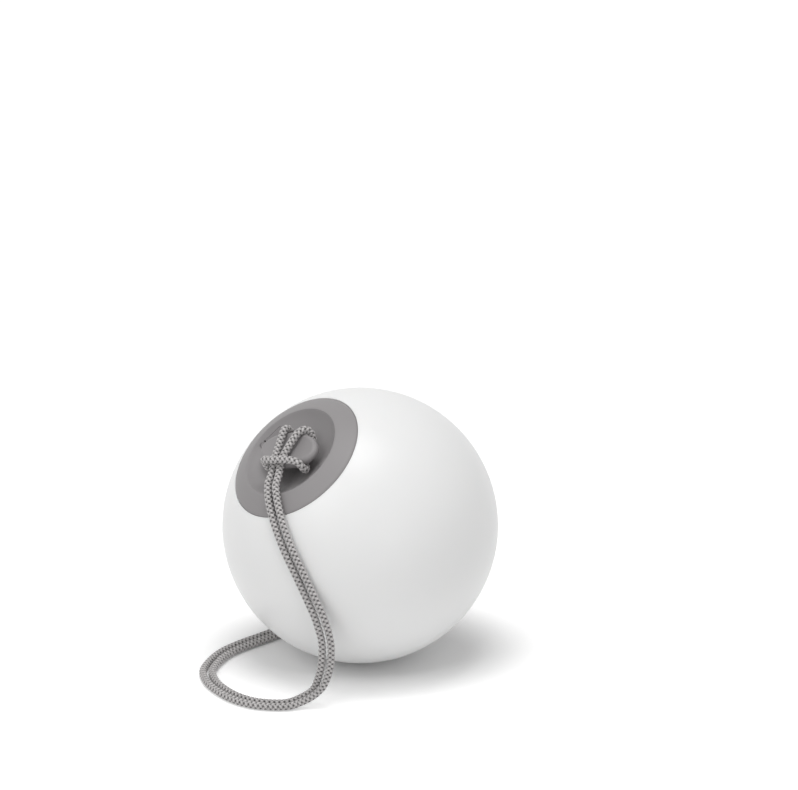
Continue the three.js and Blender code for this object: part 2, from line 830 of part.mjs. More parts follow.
// The free rope's middle line on the floor and over the globe, in the part's frame, from the
// hitch down the front, round the floor and in behind the globe. Each row is x, y, z and half
// the distance between the two strands.
const ropeRoute = [
  [-62.8, -66.0, 149.4, 3.75],
  [-60.6, -73.1, 141.5, 3.6],
  [-57.2, -80.2, 132.0, 3.5],
  [-51.4, -88.0, 118.8, 3.4],
  [-45.7, -92.7, 107.5, 3.35],
  [-39.9, -95.6, 95.1, 3.3],
  [-34.9, -98.3, 84.4, 3.3],
  [-29.8, -100.5, 72.8, 3.3],
  [-24.6, -102.0, 53.7, 3.3],
  [-24.3, -102.0, 42.6, 3.3],
  [-25.1, -101.5, 33.6, 3.3],
  [-28.7, -99.0, 19.8, 3.3],
  [-34.1, -97.0, 11.0, 3.3],
  [-43.9, -97.5, 5.2, 3.3],
  [-51.0, -99.8, 3.5, 3.3],
  [-58.8, -100.7, 3.2, 3.3],
  [-76.2, -97.6, 3.2, 3.3],
  [-90.6, -87.7, 3.2, 3.3],
  [-104.8, -67.4, 3.2, 3.3],
  [-110.0, -51.0, 3.2, 3.3],
  [-110.5, -41.0, 3.2, 3.3],
  [-106.3, -26.0, 3.2, 3.3],
  [-98.4, -10.4, 3.2, 3.3],
  [-85.2, 4.2, 3.2, 3.3],
  [-71.1, 16.3, 3.2, 3.3],
  [-60.0, 26.5, 3.2, 3.3],
  [-48.0, 38.0, 3.2, 3.3],
  [-34.0, 50.0, 3.2, 3.3],
  [-17.0, 58.5, 3.2, 3.3],
  [3.0, 62.5, 3.2, 3.3],
  [22.0, 60.5, 3.2, 4.2],
  [37.0, 52.5, 3.2, 7],
];

function strandPoint(row, before, after, side) {
  const [x, y, z, half] = row;
  const along = new THREE.Vector3(after[0] - before[0], after[1] - before[1], after[2] - before[2]);
  const raised = THREE.MathUtils.clamp((z - ropeRadius) / (globeRadius * 0.4), 0, 1);
  const outward = new THREE.Vector3(x, y, (z - globeRadius) * (z > globeRadius ? 1 : 0.2))
    .normalize().multiplyScalar(raised);
  outward.z += 1 - raised;
  const across = along.cross(outward).normalize();
  return new THREE.Vector3(x, y, z).addScaledVector(across, side * half);
}

function strand(side) {
  const last = ropeRoute.length - 1;
  return ropeRoute.map((row, i) => strandPoint(row, ropeRoute[Math.max(i - 1, 0)],
    ropeRoute[Math.min(i + 1, last)], side));
}

// The bight that closes the loop, a round end behind the globe
function bight() {
  const [end, before] = [ropeRoute.at(-1), ropeRoute.at(-2)];
  const along = new THREE.Vector3(end[0] - before[0], end[1] - before[1], 0).normalize();
  const across = new THREE.Vector3(along.y, -along.x, 0);
  const tip = new THREE.Vector3(end[0], end[1], end[2]).addScaledVector(along, bightRadius * 1.4);
  return [100, 60, 20, -20, -60, -100].map((angle) => tip.clone()
    .addScaledVector(along, bightRadius * Math.cos(rad(angle)))
    .addScaledVector(across, bightRadius * Math.sin(rad(angle))));
}

// The lamp, tilted as it lies: its own frame has its origin at the globe's centre
const part = new THREE.Group();
const bearingTurn = new THREE.Group();
const tilt = new THREE.Group();
const lamp = new THREE.Group();
bearingTurn.position.z = globeRadius;
bearingTurn.rotation.z = rad(capBearing);
tilt.rotation.y = rad(capTilt);
lamp.rotation.z = rad(knobTurn);
part.add(bearingTurn);
bearingTurn.add(tilt);
tilt.add(lamp);
part.updateMatrixWorld(true);

function piece(name, geometry, material, parent = lamp) {
  const mesh = new THREE.Mesh(closedMesh(geometry), material);
  mesh.name = name;
  parent.add(mesh);
  return mesh;
}

function dishGroup(matrix) {
  const group = new THREE.Group();
  group.applyMatrix4(matrix);
  lamp.add(group);
  return group;
}

// Shells and seals
piece('globe_shell', globeShell(), opalPlastic);
piece('cap_shell', capShell(), capPlastic);
piece('cap_seal', seal(skirtRadius - capSealSection + sealRoom, mouthRadius,
  seatHeight + seatGap - capSealDrop - sealGrooveHeight / 2), sealRubber);
piece('housing_cup', housingCup(), innerPlastic);
piece('housing_seal', seal(housingRadius - housingSealSection + sealRoom, skirtBore,
  housingTop - housingSealDrop - sealGrooveHeight / 2), sealRubber);
housingScrewBearings.forEach((bearing, i) => {
  piece(`housing_screw_${i + 1}`, screw(housingBottom - seatGap, housingScrewRadius,
    housingScrewLength, housingScrewHeadRadius, housingScrewHeadHeight)
    .translate(housingScrewPlace, 0, 0).rotateZ(rad(bearing)), steel);
});

// Knob
piece('hanging_knob', hangingKnob(), capPlastic);
piece('knob_washer', knobWasher(), steel);
piece('knob_screw', screw(washerTop - knobWasherThickness - seatGap, knobScrewRadius,
  knobScrewLength, knobScrewHeadRadius, knobScrewHeadHeight), steel);

// Button and switch
const buttonGroup = dishGroup(buttonFrame);
piece('power_button', powerButton(), softRubber, buttonGroup);
piece('switch_plunger', rod(plungerRadius, plungerTop - plungerLength, plungerTop, 12),
  blackPlastic, buttonGroup);
piece('switch_body', switchBody(), blackPlastic, buttonGroup);
piece('switch_board', smallBoard(switchBoardTop), boardGreen, buttonGroup);
piece('switch_lead', smallBoardLead(buttonFrame, switchBoardTop, buttonBearing), blackLead);

// Charging socket and flap
const portGroup = dishGroup(portFrame);
piece('port_flap', portFlap(), softRubber, portGroup);
piece('flap_anchor', flapAnchor(), softRubber, portGroup);
piece('socket_shell', socketShell(), steel, portGroup);
piece('socket_tongue', socketTongue(), blackPlastic, portGroup);
piece('socket_board', smallBoard(socketBoardTop), boardGreen, portGroup);
piece('socket_lead', smallBoardLead(portFrame, socketBoardTop, portBearing), blackLead);
[-1, 1].forEach((side, i) => {
  piece(`switch_screw_${i + 1}`, smallScrew(switchBoardTop, side), steel, buttonGroup);
  piece(`socket_screw_${i + 1}`, smallScrew(socketBoardTop, side), steel, portGroup);
});

// Control board
const onBoard = controlBoardTop + seatGap;
piece('control_board', controlBoard(), boardGreen);
piece('driver_chip', block(chipSize, chipSize, onBoard, onBoard + chipHeight)
  .translate(0, chipPlace, 0), blackPlastic);
piece('power_inductor', block(inductorSize, inductorSize, onBoard, onBoard + inductorHeight)
  .translate(0, -chipPlace, 0), blackPlastic);
piece('board_connector', block(connectorLength, connectorWidth, onBoard,
  onBoard + connectorHeight).translate(chipPlace, chipPlace * 0.7, 0), innerPlastic);

// Cells
piece('battery_holder', batteryHolder(), blackPlastic);
[-1, 1].forEach((side, i) => {
  piece(`battery_cell_${i + 1}`, batteryCell(side), cellWrap);
  piece(`board_screw_${i + 1}`, screw(controlBoardTop - controlBoardThickness - seatGap,
    boardScrewRadius, boardScrewLength, boardScrewHeadRadius, boardScrewHeadHeight)
    .translate(side * boardPostPlace, 0, 0), steel);
  piece(`led_screw_${i + 1}`, screw(housingBottom - ledBoardThickness - 2 * seatGap,
    ledScrewRadius, ledScrewLength, boardScrewHeadRadius, boardScrewHeadHeight)
    .translate(side * ledScrewX, ledScrewY, 0), steel);
});
piece('cell_strip_front', cellStrip(-1), steel);
piece('cell_strip_back', cellStrip(1), steel);
piece('battery_lead_red', batteryLead(1), redLead);
piece('battery_lead_black', batteryLead(-1), blackLead);

// Light source
piece('led_board', ledBoard(), whiteBoard);
for (let number = 0; number < ledCount; number += 1) {
  piece(`led_${number + 1}`, led(number), phosphor);
}
piece('led_lens', ledLens(), opalPlastic);
piece('led_lead_red', ledLead(1), redLead);
piece('led_lead_black', ledLead(-1), blackLead);

// Rope
piece('rope_hitch', tube(hitchPoints, ropeRadius, 6, 96), ropeFibre);
console.log('hitch: least gap to itself', leastSelfGap(hitchPoints, ropeRadius).toFixed(2));
const tailEnd = (hand) => hitchHalf(hand)[0].applyMatrix4(lamp.matrixWorld);
const tailNext = (hand) => hitchHalf(hand)[1].applyMatrix4(lamp.matrixWorld);
const free = [...strand(1), ...bight(), ...strand(-1).reverse()];
[0, 1].forEach((hand) => {
  const away = tailEnd(hand).sub(tailNext(hand)).normalize();
  const start = tailEnd(hand).addScaledVector(away, seatGap);
  const next = start.clone().addScaledVector(away, ropeRadius * 2);
  hand === 0 ? free.unshift(start, next) : free.push(next, start);
});
piece('rope_loop', tube(free, ropeRadius, 8, 80), ropeFibre, part);
const ropeLine = new THREE.CatmullRomCurve3(free, false, 'centripetal');
console.log('free rope: length', ropeLine.getLength().toFixed(0),
  'least gap to itself', leastSelfGap(free, ropeRadius).toFixed(2));

export default part;
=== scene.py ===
import bpy
import bmesh
import json
import math
import numpy as np
from mathutils import Matrix, Vector
from mathutils.kdtree import KDTree


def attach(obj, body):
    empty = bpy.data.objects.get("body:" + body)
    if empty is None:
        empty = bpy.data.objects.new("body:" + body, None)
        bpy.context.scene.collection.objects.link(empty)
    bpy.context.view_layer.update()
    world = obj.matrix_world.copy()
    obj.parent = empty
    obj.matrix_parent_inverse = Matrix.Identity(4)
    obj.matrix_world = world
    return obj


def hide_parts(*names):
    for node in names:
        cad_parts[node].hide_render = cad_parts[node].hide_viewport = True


# Hanging globe lamp, lying on the floor with its rope thrown over the front
# Metres, floor at z = 0, the globe stands over the origin

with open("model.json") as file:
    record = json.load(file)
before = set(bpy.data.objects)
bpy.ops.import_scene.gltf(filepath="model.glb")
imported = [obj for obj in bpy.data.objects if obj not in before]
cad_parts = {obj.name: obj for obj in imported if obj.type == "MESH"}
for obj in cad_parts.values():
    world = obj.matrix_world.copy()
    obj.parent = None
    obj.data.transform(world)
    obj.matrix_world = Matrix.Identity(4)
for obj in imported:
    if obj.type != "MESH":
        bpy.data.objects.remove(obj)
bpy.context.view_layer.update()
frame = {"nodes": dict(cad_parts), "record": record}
rad = math.radians
mm = 0.001
weldDistance = 1e-7

# The lamp's own axis goes from the globe's centre through the cap and the knob
lampPose = {
    "centre": (0, 0, 0.1),
    "tilt": 39.2,
    "bearing": 211,
    "knobTurn": 200.9,
}
lampFrame = (
    Matrix.Translation(lampPose["centre"])
    @ Matrix.Rotation(rad(lampPose["bearing"]), 4, "Z")
    @ Matrix.Rotation(rad(lampPose["tilt"]), 4, "Y")
    @ Matrix.Rotation(rad(lampPose["knobTurn"]), 4, "Z")
)


# Modelling helpers

def spinOutline(outline, steps):
    # outline is a list of (radius, height); an open one starts and ends on the axis
    bm = bmesh.new()
    closed = outline[0] == outline[-1]
    points = outline[:-1] if closed else outline
    verts = [bm.verts.new((radius, 0, height)) for radius, height in points]
    pairs = list(zip(verts, verts[1:])) + ([(verts[-1], verts[0])] if closed else [])
    for a, b in pairs:
        bm.edges.new((a, b))
    bmesh.ops.spin(bm, geom=bm.verts[:] + bm.edges[:], cent=(0, 0, 0), axis=(0, 0, 1),
                   dvec=(0, 0, 0), angle=rad(360), steps=steps, use_merge=True)
    bmesh.ops.remove_doubles(bm, verts=bm.verts[:], dist=weldDistance)
    bmesh.ops.recalc_face_normals(bm, faces=bm.faces[:])
    return bm


def stackRings(rings, segments):
    # rings are (half width, half length, height) of ovals, from the middle of one end to the other
    bm = bmesh.new()
    width, length, height = rings[0]
    bmesh.ops.create_circle(bm, cap_ends=True, radius=1, segments=segments)
    bmesh.ops.scale(bm, vec=(width, length, 1), verts=bm.verts[:])
    bmesh.ops.translate(bm, vec=(0, 0, height), verts=bm.verts[:])
    edges = bm.edges[:]
    for nextWidth, nextLength, nextHeight in rings[1:]:
        grown = bmesh.ops.extrude_edge_only(bm, edges=edges)["geom"]
        verts = [item for item in grown if isinstance(item, bmesh.types.BMVert)]
        edges = [item for item in grown if isinstance(item, bmesh.types.BMEdge)]
        bmesh.ops.scale(bm, vec=(nextWidth / width, nextLength / length, 1), verts=verts)
        bmesh.ops.translate(bm, vec=(0, 0, nextHeight - height), verts=verts)
        width, length, height = nextWidth, nextLength, nextHeight
    bmesh.ops.contextual_create(bm, geom=edges)
    bmesh.ops.recalc_face_normals(bm, faces=bm.faces[:])
    return bm


def roundedBlock(width, length, bottom, top, corner, edge, squareEnd=0,
                 cornerSteps=6, edgeSteps=3):
    # squareEnd 1 or -1 leaves the corners sharp at that end of the y axis
    bm = bmesh.new()
    bmesh.ops.create_cube(bm, size=1)
    bmesh.ops.scale(bm, vec=(width, length, top - bottom), verts=bm.verts[:])
    bmesh.ops.translate(bm, vec=(0, 0, (top + bottom) / 2), verts=bm.verts[:])
    upright = [e for e in bm.edges if abs(e.verts[0].co.z - e.verts[1].co.z) > (top - bottom) / 2
               and e.verts[0].co.y * squareEnd <= 0]
    bmesh.ops.bevel(bm, geom=upright, offset=corner, segments=cornerSteps, profile=0.5,
                    affect="EDGES", material=-1)
    if edge:
        rim = [e for e in bm.edges if abs(e.verts[0].co.z - e.verts[1].co.z) < weldDistance]
        bmesh.ops.bevel(bm, geom=rim, offset=edge, segments=edgeSteps, profile=0.5,
                        affect="EDGES", material=-1)
    bmesh.ops.recalc_face_normals(bm, faces=bm.faces[:])
    return bm


def shadeSmooth(bm, sharpAngle):
    for face in bm.faces:
        face.smooth = True
    for edge in bm.edges:
        edge.smooth = edge.calc_face_angle(0) < rad(sharpAngle)


def makePiece(name, bm, place, material=None, sharpAngle=38):
    bm.transform(place)
    shadeSmooth(bm, sharpAngle)
    mesh = bpy.data.meshes.new(name)
    bm.to_mesh(mesh)
    bm.free()
    piece = bpy.data.objects.new(name, mesh)
    bpy.context.scene.collection.objects.link(piece)
    if material:
        mesh.materials.append(material)
    return piece


def cutAway(piece, cutters, sharpAngle=30):
    # Takes each cutter's room out of the piece and throws the cutters away
    for cutter in cutters:
        modifier = piece.modifiers.new("cut", "BOOLEAN")
        modifier.operation = "DIFFERENCE"
        modifier.solver = "EXACT"
        modifier.object = cutter
    bpy.context.view_layer.update()
    graph = bpy.context.evaluated_depsgraph_get()
    mesh = bpy.data.meshes.new_from_object(piece.evaluated_get(graph))
    piece.modifiers.clear()
    piece.data = mesh
    for cutter in cutters:
        bpy.data.objects.remove(cutter)
    bm = bmesh.new()
    bm.from_mesh(mesh)
    shadeSmooth(bm, sharpAngle)
    bm.to_mesh(mesh)
    bm.free()


def ballPoints(ball, fromAngle, toAngle, steps):
    angles = np.linspace(fromAngle, toAngle, steps)
    return [(ball * math.sin(a), ball * math.cos(a)) for a in angles]


# Shader helpers

def newMaterial(name, color, roughness, metallic=0.0):
    material = bpy.data.materials.new(name)
    material.use_nodes = True
    shader = material.node_tree.nodes["Principled BSDF"]
    shader.inputs["Base Color"].default_value = (*color, 1)
    shader.inputs["Roughness"].default_value = roughness
    shader.inputs["Metallic"].default_value = metallic
    return material, material.node_tree, shader


def buildGrainGroup():
    # Slow colour drift, fine speckle and a fine bump: moulded plastic, rubber, coatings, yarn
    group = bpy.data.node_groups.new("mouldedGrain", "ShaderNodeTree")
    socket = group.interface.new_socket
    for name, kind, value in (
        ("Color", "NodeSocketColor", (0.5, 0.5, 0.5, 1)),
        ("Drift", "NodeSocketFloat", 0.05),
        ("Drift Scale", "NodeSocketFloat", 20.0),
        ("Speckle", "NodeSocketFloat", 0.04),
        ("Speckle Scale", "NodeSocketFloat", 1500.0),
        ("Roughness", "NodeSocketFloat", 0.5),
        ("Roughness Spread", "NodeSocketFloat", 0.08),
        ("Bump", "NodeSocketFloat", 0.1),
    ):
        made = socket(name=name, in_out="INPUT", socket_type=kind)
        made.default_value = value
    socket(name="Color", in_out="OUTPUT", socket_type="NodeSocketColor")
    socket(name="Roughness", in_out="OUTPUT", socket_type="NodeSocketFloat")
    socket(name="Normal", in_out="OUTPUT", socket_type="NodeSocketVector")
    nodes, links = group.nodes, group.links
    given = nodes.new("NodeGroupInput")
    result = nodes.new("NodeGroupOutput")
    place = nodes.new("ShaderNodeTexCoord")

    def noise(scaleSocket, detail):
        made = nodes.new("ShaderNodeTexNoise")
        made.inputs["Detail"].default_value = detail
        links.new(place.outputs["Object"], made.inputs["Vector"])
        links.new(given.outputs[scaleSocket], made.inputs["Scale"])
        return made.outputs["Fac"]

    def mathNode(operation, a, b):
        made = nodes.new("ShaderNodeMath")
        made.operation = operation
        for slot, value in zip(made.inputs, (a, b)):
            if isinstance(value, (int, float)):
                slot.default_value = value
            else:
                links.new(value, slot)
        return made.outputs[0]

    slow = mathNode("SUBTRACT", noise("Drift Scale", 3), 0.5)
    fine = mathNode("SUBTRACT", noise("Speckle Scale", 2), 0.5)
    driftPart = mathNode("MULTIPLY", slow, given.outputs["Drift"])
    specklePart = mathNode("MULTIPLY", fine, given.outputs["Speckle"])
    level = mathNode("ADD", mathNode("ADD", driftPart, specklePart), 1.0)
    scaled = nodes.new("ShaderNodeVectorMath")
    scaled.operation = "SCALE"
    links.new(given.outputs["Color"], scaled.inputs[0])
    links.new(level, scaled.inputs["Scale"])
    links.new(scaled.outputs[0], result.inputs["Color"])
    roughPart = mathNode("MULTIPLY", slow, given.outputs["Roughness Spread"])
    links.new(mathNode("ADD", given.outputs["Roughness"], roughPart), result.inputs["Roughness"])
    bump = nodes.new("ShaderNodeBump")
    bump.inputs["Distance"].default_value = 0.1 * mm
    links.new(given.outputs["Bump"], bump.inputs["Strength"])
    links.new(fine, bump.inputs["Height"])
    links.new(bump.outputs[0], result.inputs["Normal"])
    return group


grainGroup = buildGrainGroup()


def addGrain(tree, shader, color, settings):
    grain = tree.nodes.new("ShaderNodeGroup")
    grain.node_tree = grainGroup
    grain.inputs["Color"].default_value = (*color, 1)
    for name, value in settings.items():
        grain.inputs[name].default_value = value
    tree.links.new(grain.outputs["Color"], shader.inputs["Base Color"])
    tree.links.new(grain.outputs["Roughness"], shader.inputs["Roughness"])
    tree.links.new(grain.outputs["Normal"], shader.inputs["Normal"])
    return grain


# Camera: the photograph's view, through a long lens from 24 degrees above
camera = {
    "lens": 600,
    "distance": 9.637,
    "elevation": 24,
    "tip": 0.561,
    "yaw": -0.183,
    "sensor": 36,
}
lensData = bpy.data.cameras.new("camera")
lensData.lens = camera["lens"]
lensData.sensor_width = camera["sensor"]
lensData.sensor_fit = "HORIZONTAL"
cameraObject = bpy.data.objects.new("camera", lensData)
cameraObject.location = (
    0,
    -camera["distance"] * math.cos(rad(camera["elevation"])),
    lampPose["centre"][2] + camera["distance"] * math.sin(rad(camera["elevation"])),
)
cameraObject.rotation_euler = (
    rad(90 - camera["elevation"] + camera["tip"]), 0, rad(camera["yaw"]))
bpy.context.scene.collection.objects.link(cameraObject)
bpy.context.scene.camera = cameraObject
bpy.context.scene.view_settings.view_transform = "Standard"
print("camera set")


# Rope: one doubled braid, hitched round the knob and led down to the floor
# The knob's sizes stand here because the hitch follows them
knob = {
    "top": 96.8 * mm,
    "thickness": 6.5 * mm,
    "halfWidth": 15 * mm,
    "halfLength": 27 * mm,
    "edge": 3.1 * mm,
    "neck": 7 * mm,
    "dishDepth": 1.6 * mm,
    "dishBulge": 4 * mm,
    "dishRim": 3.6 * mm,
    "rimRound": 0.12 * mm,
    "neckRound": 0.5 * mm,
    "rootWidth": 2.2 * mm,
    "rootLength": 6 * mm,
    "steps": 96,
    "faceSteps": 16,
    "edgeSteps": 19,
}
rope = {
    "diameter": 5.8 * mm,
    "clearance": 0.5 * mm,
    "bightRadius": 12 * mm,
    "bightReach": 1.4,
    "globeRadius": 100 * mm,
    "ballShare": 0.4,
    "lowRise": 0.2,
    "yarns": 6,
    "pitch": 10.6 * mm,
    "stepsPerPitch": 12,
    "stepsPerSpan": 24,
    "coreEvery": 4,
    "cordEvery": 3,
    "yarnRadius": 1.22 * mm,
    "yarnCircle": 1.42 * mm,
    "weave": 0.4 * mm,
    "core": 1.3 * mm,
    "hollow": 1.95 * mm,
    "crest": 2.95 * mm,
    "color": (0.62, 0.6, 0.597),
    # painted shade: the colour the yarn turns to in the braid's hollows, between the yarns
    "hollowShadeColor": (0.03, 0.028, 0.027),
    "roughness": 0.85,
}
# Over the face: share of the half width, shares of the half length (left, right), height share
faceShares = [
    (-1.8, (0, -0.278), 0.24), (-1.55, (0.022, -0.248), 0.32), (-1.14, (0.07, -0.178), 0.6),
    (-0.86, (0.09, -0.158), 0.95), (-0.45, (0.15, -0.15), 1), (0, (0.205, -0.165), 1),
    (0.34, (0.25, -0.19), 1),
]
# Round the knob's far edge: shares of the half length, left and right
diveShares = [(0.3, 0.36, 0.39, 0.41, 0.41), (-0.24, -0.3, -0.35, -0.375, -0.385)]
# Under the knob and up its near side to the bar, left and right: shares of the half width, of the
# half length and of the turn's height
underShares = [
    [(0.3, 0.4, -1), (-0.3, 0.4, -1), (-0.7, 0.37, -1), (-1.06, 0.31, -0.7)],
    [(0.3, -0.4, -1), (-0.22, -0.45, -1), (-0.55, -0.61, -1), (-0.8, -0.73, -0.74)],
]
barShares = [
    [(-1.2, 0.285, 0), (-1.17, 0.315, 0.55), (-1.12, 0.325, 1), (-1.1, 0.3, 1.45),
     (-1.12, 0.215, 1.76), (-1.13, 0.11, 1.86)],
    [(-0.89, -0.78, -0.04), (-0.85, -0.745, 0.68), (-0.86, -0.63, 1.1), (-0.94, -0.44, 1.47),
     (-1.06, -0.22, 1.8)],
]
# Where the rope's two ends meet between the first two points under the knob, and the bar's middle
cutShares = (0.46, 0.54)
barMiddle = (-1.13, 0, 1.87)
# Free rope from the cap down the globe, round the floor and in behind: x, y, z, half spread
ropeRoute = [
    (-0.0628, -0.0660, 0.1494, 0.00375), (-0.0606, -0.0731, 0.1415, 0.00360),
    (-0.0572, -0.0802, 0.1320, 0.00350), (-0.0514, -0.0880, 0.1188, 0.00340),
    (-0.0457, -0.0927, 0.1075, 0.00335), (-0.0399, -0.0956, 0.0951, 0.00330),
    (-0.0349, -0.0983, 0.0844, 0.00330), (-0.0298, -0.1005, 0.0728, 0.00330),
    (-0.0246, -0.1020, 0.0537, 0.00330), (-0.0243, -0.1020, 0.0426, 0.00330),
    (-0.0251, -0.1015, 0.0336, 0.00330), (-0.0287, -0.0990, 0.0198, 0.00330),
    (-0.0341, -0.0970, 0.0110, 0.00330), (-0.0439, -0.0975, 0.0052, 0.00330),
    (-0.0510, -0.0998, 0.0035, 0.00330), (-0.0588, -0.1007, 0.0032, 0.00330),
    (-0.0762, -0.0976, 0.0032, 0.00330), (-0.0906, -0.0877, 0.0032, 0.00330),
    (-0.1048, -0.0674, 0.0032, 0.00330), (-0.1100, -0.0510, 0.0032, 0.00330),
    (-0.1105, -0.0410, 0.0032, 0.00330), (-0.1063, -0.0260, 0.0032, 0.00330),
    (-0.0984, -0.0104, 0.0032, 0.00330), (-0.0852, 0.0042, 0.0032, 0.00330),
    (-0.0711, 0.0163, 0.0032, 0.00330), (-0.0600, 0.0265, 0.0032, 0.00330),
    (-0.0480, 0.0380, 0.0032, 0.00330), (-0.0340, 0.0500, 0.0032, 0.00330),
    (-0.0170, 0.0585, 0.0032, 0.00330), (0.0030, 0.0625, 0.0032, 0.00330),
    (0.0220, 0.0605, 0.0032, 0.00420), (0.0370, 0.0525, 0.0032, 0.00700),
]


def hitchHalf(hand):
    # From the end of a tail over the face, round the far edge, back under and up to the bar
    radius = rope["diameter"] / 2
    lift = radius + rope["clearance"]
    turn = knob["thickness"] / 2 + lift
    middle = knob["top"] - knob["thickness"] / 2
    points = [(x * knob["halfWidth"], y[hand] * knob["halfLength"], knob["top"] + up * lift)
              for x, y, up in faceShares]
    for i, share in enumerate(diveShares[hand]):
        y = share * knob["halfLength"]
        edge = knob["halfWidth"] * math.sqrt(1 - share * share) - knob["thickness"] / 2
        dive = rad(45 * i)
        points.append((edge + turn * math.sin(dive), y, middle + turn * math.cos(dive)))
    for x, y, up in underShares[hand] + barShares[hand]:
        points.append((x * knob["halfWidth"], y * knob["halfLength"], middle + up * turn))
    return [lampFrame @ Vector(point) for point in points]


def strandPoints(side):
    # One strand of the doubled rope, beside the middle line and square to the ball or the floor
    points = []
    for i, (x, y, z, half) in enumerate(ropeRoute):
        before = Vector(ropeRoute[max(i - 1, 0)][:3])
        after = Vector(ropeRoute[min(i + 1, len(ropeRoute) - 1)][:3])
        ballHeight = rope["globeRadius"] * rope["ballShare"]
        raised = min(max((z - rope["diameter"] / 2) / ballHeight, 0), 1)
        rise = (z - rope["globeRadius"]) * (1 if z > rope["globeRadius"] else rope["lowRise"])
        outward = Vector((x, y, rise)).normalized() * raised
        outward.z += 1 - raised
        across = (after - before).cross(outward).normalized()
        points.append(Vector((x, y, z)) + across * side * half)
    return points


def bightPoints():
    end, before = Vector(ropeRoute[-1][:3]), Vector(ropeRoute[-2][:3])
    along = Vector((end.x - before.x, end.y - before.y, 0)).normalized()
    across = Vector((along.y, -along.x, 0))
    radius = rope["bightRadius"]
    tip = end + along * radius * rope["bightReach"]
    return [tip + along * radius * math.cos(rad(a)) + across * radius * math.sin(rad(a))
            for a in (100, 60, 20, -20, -60, -100)]


def wholeRoute():
    left, right = hitchHalf(0), hitchHalf(1)
    firstUnder = len(faceShares) + len(diveShares[0])
    edgeHeight = knob["top"] - knob["thickness"] / 2
    turn = knob["thickness"] / 2 + rope["diameter"] / 2 + rope["clearance"]
    barX, barY, barUp = barMiddle
    barTop = lampFrame @ Vector((
        barX * knob["halfWidth"], barY * knob["halfLength"], edgeHeight + barUp * turn))
    cut, cutOther = [left[firstUnder].lerp(left[firstUnder + 1], share) for share in cutShares]
    leftTail, rightTail = [
        half[0] + (half[0] - half[1]).normalized() * rope["diameter"] for half in (left, right)]
    return (
        [cut] + left[: firstUnder + 1][::-1] + [leftTail]
        + strandPoints(1) + bightPoints() + strandPoints(-1)[::-1]
        + [rightTail] + right + [barTop] + left[firstUnder + 1:][::-1] + [cutOther]
    )


def smoothRoute(points, spacing):
    # Centripetal Catmull-Rom through the points, then evenly spaced
    points = [np.array(point) for point in points]
    points = [2 * points[0] - points[1]] + points + [2 * points[-1] - points[-2]]
    dense = []
    for p0, p1, p2, p3 in zip(points, points[1:], points[2:], points[3:]):
        t1 = np.linalg.norm(p1 - p0) ** 0.5
        t2 = t1 + np.linalg.norm(p2 - p1) ** 0.5
        t3 = t2 + np.linalg.norm(p3 - p2) ** 0.5
        for t in np.linspace(t1, t2, rope["stepsPerSpan"], endpoint=False):
            a1 = (t1 - t) / t1 * p0 + t / t1 * p1
            a2 = (t2 - t) / (t2 - t1) * p1 + (t - t1) / (t2 - t1) * p2
            a3 = (t3 - t) / (t3 - t2) * p2 + (t - t2) / (t3 - t2) * p3
            b1 = (t2 - t) / t2 * a1 + t / t2 * a2
            b2 = (t3 - t) / (t3 - t1) * a2 + (t - t1) / (t3 - t1) * a3
            dense.append((t2 - t) / (t2 - t1) * b1 + (t - t1) / (t2 - t1) * b2)
    dense = np.array(dense + [points[-2]])
    reach = np.concatenate([[0], np.cumsum(np.linalg.norm(np.diff(dense, axis=0), axis=1))])
    count = int(round(reach[-1] / spacing)) + 1
    wanted = np.linspace(0, reach[-1], count)
    return np.stack([np.interp(wanted, reach, dense[:, k]) for k in range(3)], axis=1), reach[-1]


def turningFrames(path):
    # Two directions square to the path at each point, with the least twist between points
    along = np.gradient(path, axis=0)
    along /= np.linalg.norm(along, axis=1)[:, None]
    side = np.cross(along[0], (0, 0, 1.0))
    sides = []
    for direction in along:
        side = side - direction * side.dot(direction)
        side /= np.linalg.norm(side)
        sides.append(side)
    sides = np.array(sides)
    return sides, np.cross(along, sides)


def yarnCurve(name, lines, radius, roundness):
    curve = bpy.data.curves.new(name, "CURVE")
    curve.dimensions = "3D"
    curve.bevel_depth = radius
    curve.bevel_resolution = roundness
    curve.use_fill_caps = True
    for line in lines:
        spline = curve.splines.new("POLY")
        spline.points.add(len(line) - 1)
        spline.points.foreach_set("co", np.c_[line, np.ones(len(line))].ravel())
    return curve


def markDepth(piece, path):
    # How far out of the braid's middle each vertex stands, 0 in the hollows and 1 on the crests;
    # the rope's colour uses it to paint shade into the hollows
    tree = KDTree(len(path))
    for i, point in enumerate(path):
        tree.insert(point, i)
    tree.balance()
    room = rope["crest"] - rope["hollow"]
    depth = [(tree.find(vertex.co)[2] - rope["hollow"]) / room for vertex in piece.data.vertices]
    layer = piece.data.attributes.new("weaveDepth", "FLOAT", "POINT")
    layer.data.foreach_set("value", np.clip(depth, 0, 1).astype(np.float32))


